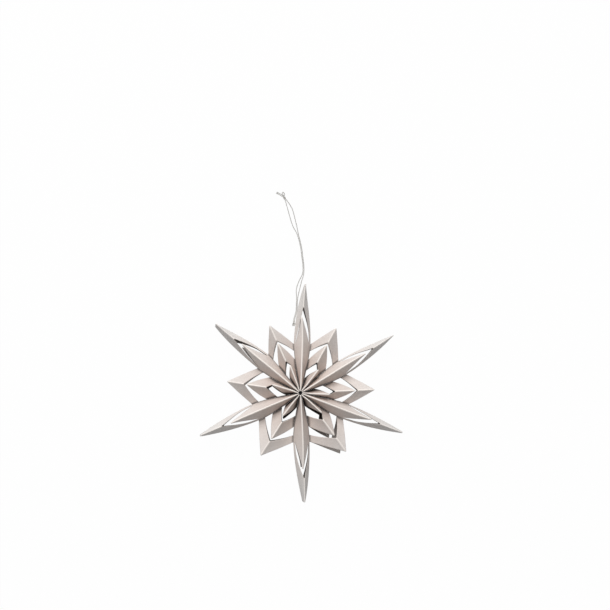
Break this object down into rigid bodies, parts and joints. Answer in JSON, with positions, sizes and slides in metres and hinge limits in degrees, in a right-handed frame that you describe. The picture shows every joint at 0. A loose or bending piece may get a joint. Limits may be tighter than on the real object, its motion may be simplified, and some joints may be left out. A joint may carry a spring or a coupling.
{
  "type": "hanging paper star",
  "caption": "Folded and cut paper star with long and short hollow petals glued side to side, and a string loop to hang it by.",
  "frame": {"origin": "middle of the star's box, on the surface that its back folds lie on", "axes": "+Z out of the star's front face, +Y towards the petal that hangs from the string"},
  "size_m": [0.1861, 0.2888, 0.028],
  "materials": {
    "card": "matt warm grey card",
    "string": "off-white cotton twine"
  },
  "bodies": {
    "root": {"long_petal_1": "card", "long_petal_2": "card", "long_petal_3": "card", "long_petal_4": "card", "long_petal_5": "card", "long_petal_6": "card", "short_petal_1": "card", "short_petal_2": "card", "short_petal_3": "card", "short_petal_4": "card", "short_petal_5": "card", "short_petal_6": "card", "string_left": "string", "string_right": "string", "tail_left": "string", "tail_right": "string", "top_bight": "string", "petal_knot": "string", "top_knot": "string"}
  },
  "joints": []
}
